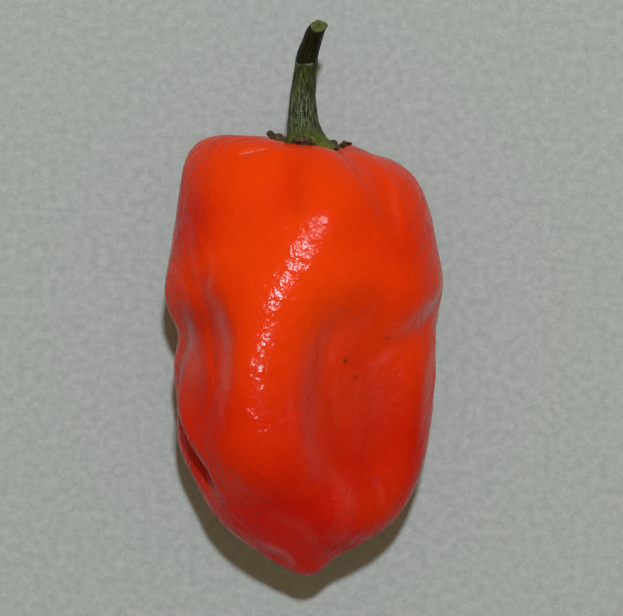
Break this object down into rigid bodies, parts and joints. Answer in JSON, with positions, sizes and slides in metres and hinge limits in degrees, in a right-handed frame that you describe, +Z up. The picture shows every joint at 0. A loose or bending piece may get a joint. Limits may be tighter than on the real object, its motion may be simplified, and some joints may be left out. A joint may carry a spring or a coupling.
{
  "type": "chilli pepper",
  "caption": "Ripe red chilli pepper of the habanero kind, a blocky wrinkled pod with its green stem and dry calyx, as picked and lying on its side.",
  "frame": {"origin": "under the middle of the pepper's box, on the surface it lies on", "axes": "+Y along the pod's axis from the tip to the stem, +X to the right seen from above with the stem pointing away, +Z up"},
  "size_m": [0.0328, 0.0658, 0.0277],
  "materials": {
    "pod_skin": "waxy orange-red skin, glossy, finely wrinkled",
    "stem": "green, fibrous, satin, nearly black towards the cut end",
    "calyx": "yellow-green, dull, fleshy",
    "sepal": "brown, withered, dull"
  },
  "bodies": {
    "root": {"pod": "pod_skin", "stem": "stem", "calyx_collar": "calyx", "sepal_top": "sepal", "sepal_left": "sepal", "sepal_lower_left": "sepal", "sepal_lower_right": "sepal", "sepal_right": "sepal"}
  },
  "joints": []
}
